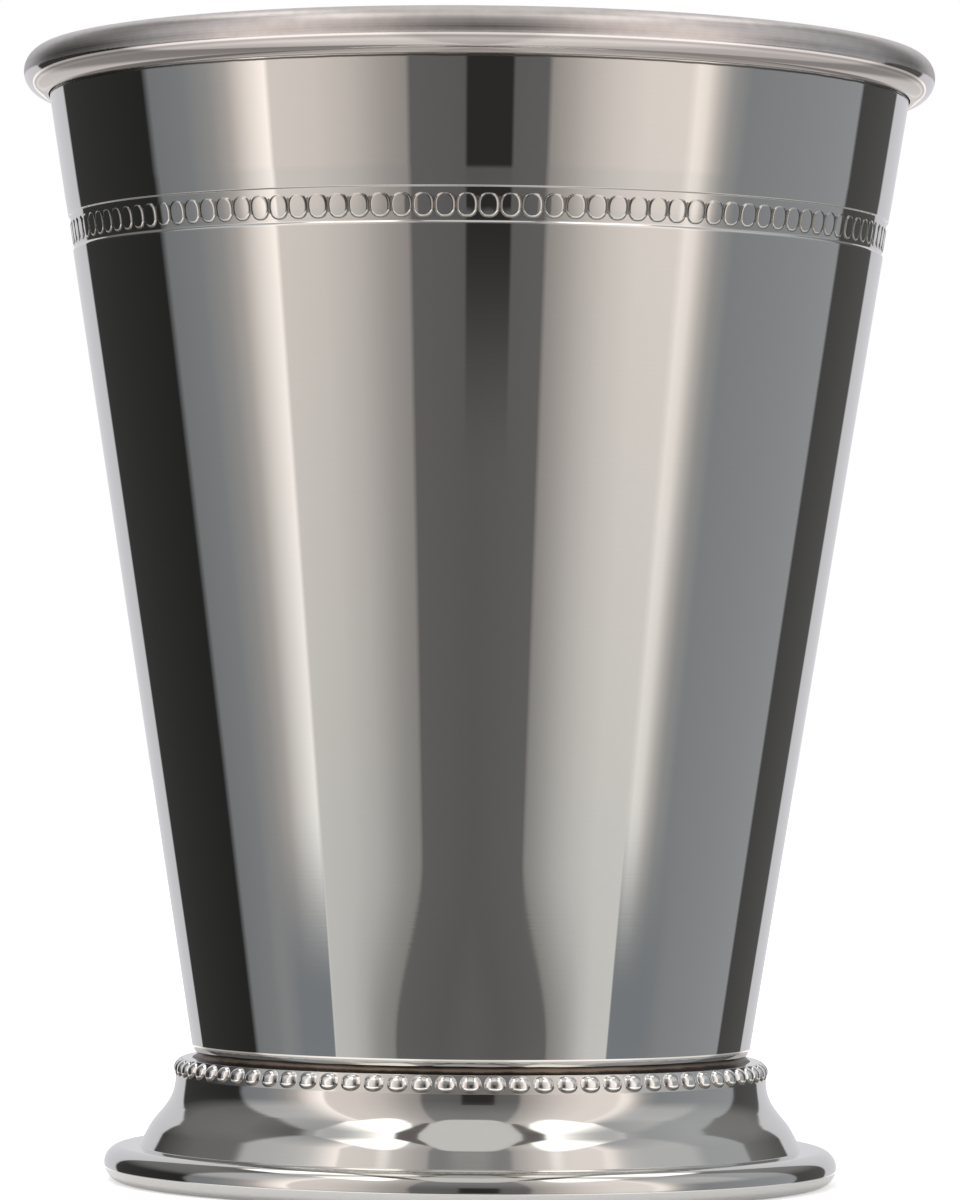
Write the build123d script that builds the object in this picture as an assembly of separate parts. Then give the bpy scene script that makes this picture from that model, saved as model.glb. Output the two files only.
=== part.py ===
from build123d import *
import os
from math import acos, atan2, ceil, copysign, cos, pi, sin, tan

# Julep cup of polished stainless sheet: a tapered cup with a rolled rim and a beaded band,
# brazed onto a separate flared foot with a beaded shoulder and a rolled base edge.
# Millimetres, +Z up, origin on the axis at the plane the foot stands on.

# Cup
cup_height = 109.8           # table to the top of the rim
rim_diameter = 89.0          # over the rolled rim
rim_overhang = 2.55          # rolled rim beyond the wall below it
rim_roll_radius = 2.2        # outside of the roll
rim_fold_radius = 0.35       # inside of the tight fold at the lip
rim_seam_gap = 0.25          # free edge of the roll to the wall
wall_foot_diameter = 54.0    # outside of the wall, carried down to the ledge of the foot
cup_sheet = 0.7              # thickness of wall and floor
floor_bend_radius = 0.95     # inside of the bend from floor to wall

# Beaded band, rolled into the wall as a shallow channel with oval beads left standing
band_middle_height = 92.0    # table to the middle of the band
band_width = 3.4             # edge to edge, along the wall
band_depth = 0.17            # channel floor below the wall
band_flank = 0.28            # run of each sloping edge of the channel
band_bead_pitch = 2.013      # bead to bead, around the wall
band_bead_length = 2.25      # along the wall, at the channel floor
band_bead_width = 1.9        # around the wall, at the channel floor
band_bead_bevel = 0.15       # channel floor in to the flat top, seen from outside

# Foot
foot_height = 11.9           # table to the ledge that carries the cup
foot_diameter = 71.3         # over the rolled base edge
foot_sheet = 0.7             # thickness of the foot
flange_seat = 4.85           # flange under the cup, in from the wall to its hole
ledge_margin = 1.2           # ledge beyond the wall, to the corner of the shoulder
shoulder_run = 0.58          # shoulder corner out to the neck
shoulder_drop = 1.75         # ledge down to the top of the neck
cove_drop = 3.3              # ledge down to the corner of the cove
cove_bend = 3.5              # hollow bend from neck to flank
toe_rise = 1.5               # roll up to the corner where the flank steepens
toe_run = 0.65               # that corner in from the groove above the roll
toe_bend = 4.0               # round bend at that corner
base_roll_height = 3.4       # rolled base edge, table to top
base_roll_width = 3.4        # rolled base edge, groove to outside
base_land = 2.6              # underside of the roll, outside to free edge

# Beads pressed out of the shoulder
foot_bead_pitch = 2.3        # bead to bead, around the shoulder
foot_bead_size = 1.5         # across, at the shoulder
foot_bead_bevel = 0.35       # shoulder in to the flat crown, seen from outside
foot_bead_proud = 0.35       # crown above the shoulder
foot_bead_drop = 0.84        # ledge down to the middle of a bead

# Braze
braze_reach = 0.2            # out along the ledge, beyond the wall

bead_sides = 6
bead_root = 0.1              # how deep a bead is rooted in its sheet
shown_turn = 0.64            # largest turn, in radians, of a straight run in a bend that shows
hidden_turn = 1.6            # the same in a bend that is hidden

# Lines shared by the cup, the foot and the braze, as (radius, height)
wall_foot = Vector(wall_foot_diameter / 2, foot_height)
wall_top = Vector(rim_diameter / 2 - rim_overhang, cup_height - 2 * rim_roll_radius)
wall_lean = atan2(wall_top.X - wall_foot.X, wall_top.Y - wall_foot.Y)
wall_up = Vector(sin(wall_lean), cos(wall_lean))
wall_out = Vector(cos(wall_lean), -sin(wall_lean))
floor_corner = floor_bend_radius + cup_sheet
floor_bend_run = floor_corner * tan(pi / 4 - wall_lean / 2)
floor_bend_centre = Vector(wall_foot.X - floor_bend_run, foot_height + floor_corner)
upward = pi / 2


def wall_point(height):
    """Outside of the wall at a height."""
    return wall_foot + wall_up * ((height - foot_height) / cos(wall_lean))


def polar(centre, radius, angle):
    """Point of a circle."""
    return centre + Vector(cos(angle), sin(angle)) * radius


def runs(centre, radius, angles, largest_turn):
    """Points along an arc through the given angles, no further apart than the largest turn."""
    points = [polar(centre, radius, angles[0])]
    for start, end in zip(angles, angles[1:]):
        count = ceil(abs(end - start) / largest_turn)
        points += [polar(centre, radius, start + (end - start) * step / count) for step in range(1, count + 1)]
    return points


def rounded(corners, bends):
    """The corners of an open run, each inner one rounded to its bend, or left sharp where the bend is 0."""
    points = [corners[0]]
    for before, corner, after, bend in zip(corners, corners[1:], corners[2:], bends):
        back = (before - corner).normalized()
        ahead = (after - corner).normalized()
        half_angle = acos(back.dot(ahead)) / 2
        turn = copysign(pi - 2 * half_angle, ahead.cross(back).Z)
        centre = corner + (back + ahead).normalized() * (bend / sin(half_angle))
        entry = back * (bend / tan(half_angle)) + corner - centre
        start = atan2(entry.Y, entry.X)
        points += runs(centre, bend, [start, start + turn], shown_turn) if bend else [corner]
    return points + [corners[-1]]


def mitred(corners, depth):
    """The corners of an open run, moved to its right by depth."""
    rights = []
    for a, b in zip(corners, corners[1:]):
        heading = (b - a).normalized()
        rights.append(Vector(heading.Y, -heading.X))
    moved = [corners[0] + rights[0] * depth]
    for corner, before, after in zip(corners[1:], rights, rights[1:]):
        moved.append(corner + (before + after) * (depth / (1 + before.dot(after))))
    return moved + [corners[-1] + rights[-1] * depth]


def spun(points):
    """Solid of revolution about +Z of a closed outline, where a point met twice in a row counts once."""
    outline = [point for point, following in zip(points, points[1:] + points[:1]) if point != following]
    return revolve(Plane.XZ * make_face(Polyline(*outline, close=True)), Axis.Z)


def outward_plane(point, outward):
    """Plane at a point of the outline, facing outward, with its own y up the outline."""
    return Plane(origin=(point.X, 0, point.Y), x_dir=(0, 1, 0), z_dir=(outward.X, 0, outward.Y))


def oval(plane, width, length):
    """Flat face with bead_sides corners on an ellipse."""
    angles = [2 * pi * step / bead_sides for step in range(bead_sides)]
    return plane * make_face(Polyline(*[(width / 2 * sin(a), length / 2 * cos(a)) for a in angles], close=True))


def bead(plane, width, length, bevel, proud):
    """Flat-topped bead with sloping sides, of the given size at the plane and rooted below it."""
    spread = 2 * bevel * bead_root / proud
    root = oval(plane.offset(-bead_root), width + spread, length + spread)
    crown = oval(plane.offset(proud), width - 2 * bevel, length - 2 * bevel)
    return loft([root, crown], ruled=True)


def ring_of(piece, radius, pitch):
    """Copies of a piece, evenly spaced about +Z at the pitch that closes the ring."""
    count = round(2 * pi * radius / pitch)
    return [Rot(0, 0, 360 * step / count) * piece for step in range(count)]


def make_cup_shell():
    """Floor, tapered wall and rolled rim, as one sheet."""
    lip = rim_fold_radius + cup_sheet
    lip_centre = wall_point(cup_height - lip) + Vector(rim_fold_radius / cos(wall_lean), 0)
    roll_line = rim_diameter / 2 - rim_roll_radius
    join = acos((lip_centre.X - roll_line) / (rim_roll_radius - lip))
    roll_centre = polar(lip_centre, lip - rim_roll_radius, join)
    roll_hollow = rim_roll_radius - cup_sheet
    inward = pi - wall_lean
    outward = -wall_lean
    seam_reach = rim_seam_gap - (roll_centre - wall_foot).dot(wall_out)
    seam_outside = outward - acos(seam_reach / rim_roll_radius)
    seam_inside = outward - acos(seam_reach / roll_hollow)
    return spun([
        Vector(0, foot_height),
        *runs(floor_bend_centre, floor_corner, [-upward, outward], shown_turn),
        *runs(lip_centre, rim_fold_radius, [inward, join], hidden_turn),
        *runs(roll_centre, roll_hollow, [join, seam_inside], hidden_turn),
        *runs(roll_centre, rim_roll_radius, [seam_outside, 0, join], shown_turn),
        *runs(lip_centre, lip, [join, upward, inward], shown_turn),
        *runs(floor_bend_centre, floor_bend_radius, [outward, -upward], hidden_turn),
        Vector(0, foot_height + cup_sheet),
    ])


def make_band_channel():
    """Ring of metal that the band's channel takes out of the wall."""
    middle = wall_point(band_middle_height)
    half_floor = wall_up * (band_width / 2 - band_flank)
    half_mouth = wall_up * (band_width / 2 + band_flank)
    depth = wall_out * band_depth
    return spun([middle - half_floor - depth, middle + half_floor - depth,
                 middle + half_mouth + depth, middle - half_mouth + depth])


def make_band_beads():
    """Flat-topped oval beads that stand in the channel, level with the wall."""
    middle = wall_point(band_middle_height)
    channel_floor = outward_plane(middle - wall_out * band_depth, wall_out)
    one = bead(channel_floor, band_bead_width, band_bead_length, band_bead_bevel, band_depth)
    return ring_of(one, middle.X, band_bead_pitch)


def make_cup_body():
    """The whole cup: shell, band and beads."""
    return make_cup_shell() - make_band_channel() + make_band_beads()


def foot_corners():
    """Visible side of the foot's sheet, from the flange's hole to the top of the base roll."""
    ledge_edge = wall_foot.X + ledge_margin
    neck = ledge_edge + shoulder_run
    groove = foot_diameter / 2 - base_roll_width
    return [
        Vector(wall_foot.X - flange_seat, foot_height),
        Vector(ledge_edge, foot_height),
        Vector(neck, foot_height - shoulder_drop),
        Vector(neck, foot_height - cove_drop),
        Vector(groove - toe_run, base_roll_height + toe_rise),
        Vector(groove, base_roll_height),
        Vector((foot_diameter - base_roll_height) / 2, base_roll_height),
    ]


def make_foot_shell():
    """Flange, shoulder, neck, ogee and rolled base edge, as one sheet."""
    corners = foot_corners()
    roll = base_roll_height / 2
    roll_centre = corners[-1] - Vector(0, roll)
    free_edge = foot_diameter / 2 - base_land
    return spun([
        *rounded(corners, [0, 0, cove_bend, toe_bend, 0]),
        *runs(roll_centre, roll, [upward, 0, -upward], shown_turn),
        Vector(free_edge, 0),
        Vector(free_edge, foot_sheet),
        *runs(roll_centre, roll - foot_sheet, [-upward, upward], hidden_turn),
        *mitred(corners, foot_sheet)[::-1],
    ])


def make_foot_beads():
    """Round beads in a row on the shoulder."""
    ledge_corner, neck_corner = foot_corners()[1:3]
    slope = (neck_corner - ledge_corner).normalized()
    middle = ledge_corner - slope * (foot_bead_drop / slope.Y)
    shoulder = outward_plane(middle, Vector(-slope.Y, slope.X))
    one = bead(shoulder, foot_bead_size, foot_bead_size, foot_bead_bevel, foot_bead_proud)
    return ring_of(one, middle.X, foot_bead_pitch)


def make_foot():
    """The whole foot: sheet and beads."""
    return make_foot_shell() + make_foot_beads()


def make_braze_ring(cup_body):
    """Filler metal in the crevice between the cup's bottom bend and the ledge, square to the bend outside."""
    root = Vector(floor_bend_centre.X, foot_height)
    toe = Vector(wall_foot.X + braze_reach, foot_height)
    mid_sheet = floor_bend_centre + (toe - floor_bend_centre).normalized() * (floor_corner - cup_sheet / 2)
    return spun([root, toe, mid_sheet]) - cup_body


cup_body = make_cup_body()
pieces = {
    "cup_body": cup_body,
    "foot": make_foot(),
    "braze_ring": make_braze_ring(cup_body),
}
os.makedirs("parts", exist_ok=True)
for name, piece in pieces.items():
    export_step(piece, f"parts/{name}.step")
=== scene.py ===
from math import acos, asin, atan, atan2, copysign, cos, degrees, pi, radians, sin, tan

import bpy
from bpy.props import FloatProperty, FloatVectorProperty, IntProperty, PointerProperty
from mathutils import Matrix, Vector


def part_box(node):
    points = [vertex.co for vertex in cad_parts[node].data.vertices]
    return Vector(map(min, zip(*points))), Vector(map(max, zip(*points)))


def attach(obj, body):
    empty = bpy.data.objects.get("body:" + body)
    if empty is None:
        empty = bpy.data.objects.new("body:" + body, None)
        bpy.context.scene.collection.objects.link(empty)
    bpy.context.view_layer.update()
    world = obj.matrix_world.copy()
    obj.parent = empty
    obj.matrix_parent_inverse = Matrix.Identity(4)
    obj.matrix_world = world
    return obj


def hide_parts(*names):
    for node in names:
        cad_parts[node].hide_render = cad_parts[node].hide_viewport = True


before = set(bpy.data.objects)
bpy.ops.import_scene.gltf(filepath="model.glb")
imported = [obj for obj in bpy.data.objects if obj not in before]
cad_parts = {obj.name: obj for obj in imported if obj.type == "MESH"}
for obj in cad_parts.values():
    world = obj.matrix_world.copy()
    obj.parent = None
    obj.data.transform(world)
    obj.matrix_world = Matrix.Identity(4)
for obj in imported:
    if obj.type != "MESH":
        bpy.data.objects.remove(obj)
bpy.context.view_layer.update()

bl_info = {
    "name": "Julep cup",
    "version": (1, 0, 0),
    "blender": (4, 5, 0),
    "location": "View3D > Sidebar > Julep cup",
    "description": "Builds a footed julep cup of polished steel sheet, and a plain studio round it",
    "category": "Add Mesh",
}

CUP_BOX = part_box("cup_body")
FOOT_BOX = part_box("foot")
MM = 0.001
UPWARD = pi / 2


# Settings

def length(name, description, default):
    """Property for a size in metres."""
    return FloatProperty(name=name, description=description, default=default, unit="LENGTH", precision=5)


def tilt(name, description, default):
    """Property for an angle."""
    return FloatProperty(name=name, description=description, default=default, subtype="ANGLE")


def colour(name, description, default):
    """Property for a colour."""
    return FloatVectorProperty(name=name, description=description, default=default, subtype="COLOR",
                               min=0, max=1)


class CupSizes(bpy.types.PropertyGroup):
    """Sizes of the cup: wall, floor, rolled rim and beaded band."""

    height: length("Height", "Table to the top of the rim", CUP_BOX[1].z)
    rim_radius: length("Rim radius", "Axis to the outside of the rolled rim", CUP_BOX[1].x)
    rim_overhang: length("Rim overhang", "Rolled rim beyond the wall below it", 2.55 * MM)
    roll_radius: length("Roll radius", "Outside of the rolled rim", 2.2 * MM)
    fold_radius: length("Fold radius", "Inside of the tight fold at the lip", 0.35 * MM)
    satin_angle: tilt("Satin angle", "Where the roll's satin begins, above level", radians(-14))
    seam_gap: length("Seam gap", "Free edge of the roll to the wall", 0.12 * MM)
    wall_foot_radius: length("Wall radius at the ledge", "Outside of the wall, carried down to the ledge",
                             27.0 * MM)
    sheet: length("Sheet", "Thickness of wall and floor", 0.7 * MM)
    floor_bend: length("Floor bend", "Inside of the bend from floor to wall", 0.95 * MM)
    band_height: length("Band height", "Table to the middle of the band", 92.0 * MM)
    band_width: length("Band width", "Edge to edge of the band, along the wall", 3.4 * MM)
    band_depth: length("Band depth", "Channel floor below the wall", 0.17 * MM)
    band_flank: length("Band flank", "Run of the channel's lower edge", 0.2 * MM)
    band_step: length("Band step", "Run of the channel's upper edge", 0.1 * MM)
    draw_depth: length("Draw depth", "How far the wall is drawn in at the band's upper edge", 0.038 * MM)
    draw_run: length("Draw run", "Height above the band over which it is drawn in", 1.8 * MM)
    draw_bend: length("Draw bend", "Round bend where the drawn-in wall begins", 28.0 * MM)
    bead_width: length("Bead width", "Band bead around the wall, at the channel floor", 1.985 * MM)
    bead_length: length("Bead length", "Band bead along the wall, at the channel floor", 2.36 * MM)
    bead_drop: length("Bead drop", "Middle of the band down to the middle of a bead", 0.08 * MM)
    bead_count: IntProperty(name="Beads", description="Beads round the band", default=124, min=12)


class FootSizes(bpy.types.PropertyGroup):
    """Sizes of the foot: flange, shoulder, ogee and rolled base edge."""

    height: length("Height", "Table to the ledge that carries the cup", FOOT_BOX[1].z)
    base_radius: length("Base radius", "Axis to the outside of the rolled base edge", FOOT_BOX[1].x)
    sheet: length("Sheet", "Thickness of the foot", 0.7 * MM)
    hole_radius: length("Hole radius", "Axis to the edge of the flange's hole", 22.15 * MM)
    ledge_radius: length("Ledge radius", "Axis to the corner of the shoulder", 28.2 * MM)
    shoulder_run: length("Shoulder run", "Shoulder corner out to the neck", 0.58 * MM)
    shoulder_drop: length("Shoulder drop", "Ledge down to the top of the neck", 1.75 * MM)
    cove_drop: length("Cove drop", "Ledge down to the corner of the cove", 3.3 * MM)
    cove_bend: length("Cove bend", "Hollow bend from neck to flank", 4.5 * MM)
    toe_rise: length("Toe rise", "Base roll up to the corner where the flank steepens", 2.2 * MM)
    toe_run: length("Toe run", "That corner in from the groove above the roll", 1.18 * MM)
    toe_bend: length("Toe bend", "Round bend at that corner", 6.0 * MM)
    flank_hollow: length("Flank hollow", "Middle of the flank inside a straight line", 0.1 * MM)
    flank_bend: length("Flank bend", "Hollow bend there", 12.0 * MM)
    roll_height: length("Roll height", "Rolled base edge, table to top", 3.4 * MM)
    land: length("Land", "Underside of the roll, outside to free edge", 2.6 * MM)
    bead_width: length("Bead width", "Shoulder bead around the shoulder", 2.05 * MM)
    bead_length: length("Bead length", "Shoulder bead down the shoulder", 1.74 * MM)
    bead_proud: length("Bead height", "Crown of a shoulder bead above the shoulder", 0.45 * MM)
    bead_drop: length("Bead drop", "Ledge down to the middle of a bead", 0.84 * MM)
    bead_count: IntProperty(name="Beads", description="Beads round the shoulder", default=78, min=12)


class BrazeSizes(bpy.types.PropertyGroup):
    """Sizes of the braze in the crevice between cup and foot."""

    reach: length("Reach", "Out along the ledge, beyond the wall", 0.2 * MM)
    sway: length("Sway", "How far the edge of the braze wanders", 0.08 * MM)


class Finishes(bpy.types.PropertyGroup):
    """Colours of the metals and of the stage."""

    cup_steel: colour("Cup steel", "Polished steel of the cup", (0.62, 0.61, 0.59))
    rim_steel: colour("Rim steel", "Turned steel of the rolled rim", (0.66, 0.615, 0.605))
    edge_steel: colour("Edge steel", "Burnished lower edge of the band", (0.74, 0.73, 0.71))
    # Root steel is a dark colour that paints shade round the roots of the beads and in the gaps between them
    root_painted_shade: colour("Root steel", "Shaded steel at the roots of the beads", (0.24, 0.225, 0.205))
    # Bead steel is lighter than the foot's steel: a painted sheen on the burnished beads
    bead_steel_painted_sheen: colour("Bead steel", "Burnished beads of the foot", (0.84, 0.83, 0.81))
    foot_steel: colour("Foot steel", "Polished steel of the foot", (0.64, 0.63, 0.61))
    satin_steel: colour("Satin steel", "Satin steel inside the cup and under the foot", (0.68, 0.67, 0.65))
    braze: colour("Braze", "Dull filler metal in the crevice", (0.09, 0.07, 0.055))
    floor: colour("Floor", "Plain pale floor", (0.88, 0.88, 0.88))


class CameraPlace(bpy.types.PropertyGroup):
    """Where the camera stands."""

    lens: FloatProperty(name="Lens", description="Focal length", default=179.85, unit="CAMERA")
    distance: length("Distance", "Camera to the cup's axis", 586.0 * MM)
    height: length("Height", "Camera above the table", 44.5 * MM)
    aside: length("Aside", "Camera to the right of the cup's axis", 0.49 * MM)
    pitch: tilt("Pitch", "Upward tilt", radians(1.19))
    roll: tilt("Roll", "Turn of the camera about its own line", radians(0.5))


class JulepCupSettings(bpy.types.PropertyGroup):
    """All the sizes and colours of the cup."""

    cup: PointerProperty(type=CupSizes, name="Cup", description="Sizes of the cup")
    foot: PointerProperty(type=FootSizes, name="Foot", description="Sizes of the foot")
    braze: PointerProperty(type=BrazeSizes, name="Braze", description="Sizes of the braze")
    finishes: PointerProperty(type=Finishes, name="Finishes", description="Colours")
    camera: PointerProperty(type=CameraPlace, name="Camera", description="Place of the camera")


# Outlines. A station is (point, normal) in the half plane of radius and height.
# Metal lies to the left of the way an outline is followed, so the normal is to the right.

# Turn from station to station of a bend: as a rule, along the foot's flank, and in bends up to the tight one
FINE_TURN = radians(5)
FLANK_TURN = radians(1.5)
TIGHT_TURN = radians(8)
TIGHT_BEND = 0.5 * MM


def polar(centre, radius, angle):
    """Point of a circle."""
    return centre + Vector((cos(angle), sin(angle))) * radius


def right_of(a, b):
    """Unit normal to the right of the way from a to b."""
    way = (b - a).normalized()
    return Vector((way.y, -way.x))


def line(a, b, steps=1):
    """Stations along a straight run."""
    normal = right_of(a, b)
    return [(a.lerp(b, step / steps), normal) for step in range(steps + 1)]


def arc(centre, radius, start, end, steps):
    """Stations along an arc, whose normal points away from the centre where it turns left."""
    side = 1 if end > start else -1
    stations = []
    for step in range(steps + 1):
        angle = start + (end - start) * step / steps
        stations.append((polar(centre, radius, angle), polar(Vector((0, 0)), side, angle)))
    return stations


def bent(corners, bends, finest=FINE_TURN):
    """Stations along an open line of corners, each inner corner bent to its radius."""
    stations = []
    last = corners[0]
    for before, corner, after, bend in zip(corners, corners[1:], corners[2:], bends):
        back = (before - corner).normalized()
        ahead = (after - corner).normalized()
        half = acos(back.dot(ahead)) / 2
        left_turn = -back.x * ahead.y + back.y * ahead.x > 0
        turn = (pi - 2 * half) * (1 if left_turn else -1)
        centre = corner + (back + ahead).normalized() * (bend / sin(half))
        entry = corner + back * (bend / tan(half))
        start = atan2(entry.y - centre.y, entry.x - centre.x)
        step = finest if bend > TIGHT_BEND else max(finest, TIGHT_TURN)
        curve = arc(centre, bend, start, start + turn, max(2, round(abs(turn) / step)))
        stations += line(last, entry) + curve[1:]
        last = curve[-1][0]
    return stations + line(last, corners[-1])


def spaced(run, longest):
    """The same run with its long straight stretches divided."""
    stations = [run[0]]
    for (a, normal_a), (b, normal_b) in zip(run, run[1:]):
        steps = max(1, round((b - a).length / longest))
        for step in range(1, steps + 1):
            share = step / steps
            stations.append((a.lerp(b, share), normal_a.lerp(normal_b, share).normalized()))
    return stations


def parted(run, test):
    """A run in two, parted at the first station whose point passes a test. The parts share that station."""
    place = next(index for index, (point, _) in enumerate(run) if test(point))
    return run[:place + 1], run[place:]


def mitred(corners, depth):
    """The corners of an open line, moved to its right by depth."""
    rights = [right_of(a, b) for a, b in zip(corners, corners[1:])]
    moved = [corners[0] + rights[0] * depth]
    for corner, before, after in zip(corners[1:], rights, rights[1:]):
        moved.append(corner + (before + after) * (depth / (1 + before.dot(after))))
    return moved + [corners[-1] + rights[-1] * depth]


# Turned meshes

ON_AXIS = 1e-9
SHORTEST_ROW = 1e-8


def turned(normal, angle):
    """Normal of the half plane, turned about the axis."""
    return (normal.x * cos(angle), normal.x * sin(angle), normal.y)


class TurnedMesh:
    """Points, faces and corner normals of a piece that is turned about the cup's axis."""

    def __init__(self, columns):
        self.columns = columns
        self.points = []
        self.faces = []
        self.normals = []
        self.finishes = []

    def angle(self, column):
        """Angle of a column about the axis."""
        return 2 * pi * column / self.columns

    def add(self, point, angle):
        """Adds a point of the half plane, turned to an angle, and returns its number."""
        self.points.append((point.x * cos(angle), point.x * sin(angle), point.y))
        return len(self.points) - 1

    def face(self, corners, finish):
        """Adds a face by its corners, each the number of a point and a normal."""
        self.faces.append([number for number, _ in corners])
        self.normals += [normal for _, normal in corners]
        self.finishes.append(finish)

    def ring(self, point):
        """Adds a point in every column, or one point on the axis."""
        if point.x < ON_AXIS:
            return [self.add(point, 0.0)]
        return [self.add(point, self.angle(column)) for column in range(self.columns)]

    def strip(self, lower, upper, lower_normal, upper_normal, finish):
        """Faces between two rings."""
        for column in range(self.columns):
            here, there = column, (column + 1) % self.columns
            corners = []
            for ring, order, normal in ((lower, (here, there), lower_normal),
                                        (upper, (there, here), upper_normal)):
                steps = order if len(ring) > 1 else order[:1]
                corners += [(ring[step % len(ring)], turned(normal, self.angle(step))) for step in steps]
            self.face(corners, finish)

    def sweep(self, run, first=None, last=None, finish=0):
        """Faces along a run of stations, from a first ring and to a last one where they exist already.
        Returns the rings at both ends."""
        opening = first or self.ring(run[0][0])
        ring = opening
        for index in range(1, len(run)):
            (point, normal), (next_point, next_normal) = run[index - 1], run[index]
            if (next_point - point).length < SHORTEST_ROW:
                continue
            closing = last if last and index == len(run) - 1 else self.ring(next_point)
            self.strip(ring, closing, normal, next_normal, finish)
            ring = closing
        return opening, ring

    def build(self, name, materials):
        """Makes the object, with its corner normals and materials."""
        mesh = bpy.data.meshes.new(name)
        mesh.from_pydata(self.points, [], self.faces)
        for material in materials:
            mesh.materials.append(material)
        mesh.polygons.foreach_set("material_index", self.finishes)
        mesh.polygons.foreach_set("use_smooth", [True] * len(mesh.polygons))
        mesh.update()
        mesh.normals_split_custom_set(self.normals)
        piece = bpy.data.objects.new(name, mesh)
        bpy.context.scene.collection.objects.link(piece)
        return piece


# Beads. A profile is (inset, lift, slope) from a bead's root up to the edge of its top.

DOME_STEPS = 10
PILLOW_STEPS = 6
# Level of a cell's flat strip. A bead's side has the levels from 0 up.
STRIP_LEVEL = -1


def dome_rings(half_width, half_length, height):
    """Profile of a round bead: a spherical cap."""
    reach = min(half_width, half_length)
    sphere = (reach ** 2 + height ** 2) / (2 * height)
    steepest = asin(reach / sphere)
    rings = [(0.0, 0.0, 0.0)]
    for step in range(1, DOME_STEPS):
        slope = steepest * (1 - step / DOME_STEPS)
        rings.append((reach - sphere * sin(slope), height - sphere * (1 - cos(slope)), slope))
    return rings


def pillow_rings(height, run, root, crown):
    """Profile of a pillow-shaped bead: a tight root, a round side and a slight crown.
    Height and run are the side's, and crown is the slope at the edge of the top."""
    steepest = 2 * atan2(height, run) - crown
    radius = run / (sin(steepest) - sin(crown))
    root_lift = root * tan(steepest) / 2
    rings = [(0.0, 0.0, 0.0)]
    for step in range(PILLOW_STEPS + 1):
        slope = steepest + (crown - steepest) * step / PILLOW_STEPS
        inset = root + radius * (sin(steepest) - sin(slope))
        rings.append((inset, root_lift + radius * (cos(slope) - cos(steepest)), slope))
    return rings


def band_painted_shade(level, turn):
    """Whether painted shade lies on a face of the band: in the narrow gaps between beads, round the
    roots of the beads except at the top, and up their left sides."""
    gap_edge, top_edge, left_edge = 0.85, 0.75, -0.6
    root_levels, left_levels = 2, 4
    if level == STRIP_LEVEL:
        return abs(cos(turn)) > gap_edge
    if sin(turn) > top_edge:
        return False
    return level < (left_levels if cos(turn) < left_edge else root_levels)


def shoulder_painted_shade(level, turn):
    """Whether painted shade lies on a face of a shoulder bead: along its lower side."""
    lower_edge, root_levels = -0.35, 3
    return STRIP_LEVEL < level < root_levels and sin(turn) < lower_edge


class Bead:
    """Shape of a bead. Squareness 2 is an oval, and lean is how far the top stands to the left."""

    def __init__(self, half_width, half_length, profile, top_rings, squareness, lean):
        self.half_width, self.half_length = half_width, half_length
        self.profile = profile
        self.top_rings = top_rings
        self.squareness = squareness
        self.lean = lean
        inset, self.side_lift, self.crown = profile[-1]
        self.top_size = Vector((half_width - inset, half_length - inset))
        self.rise = tan(self.crown) * min(self.top_size) / 2
        self.skew = lean / inset


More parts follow.
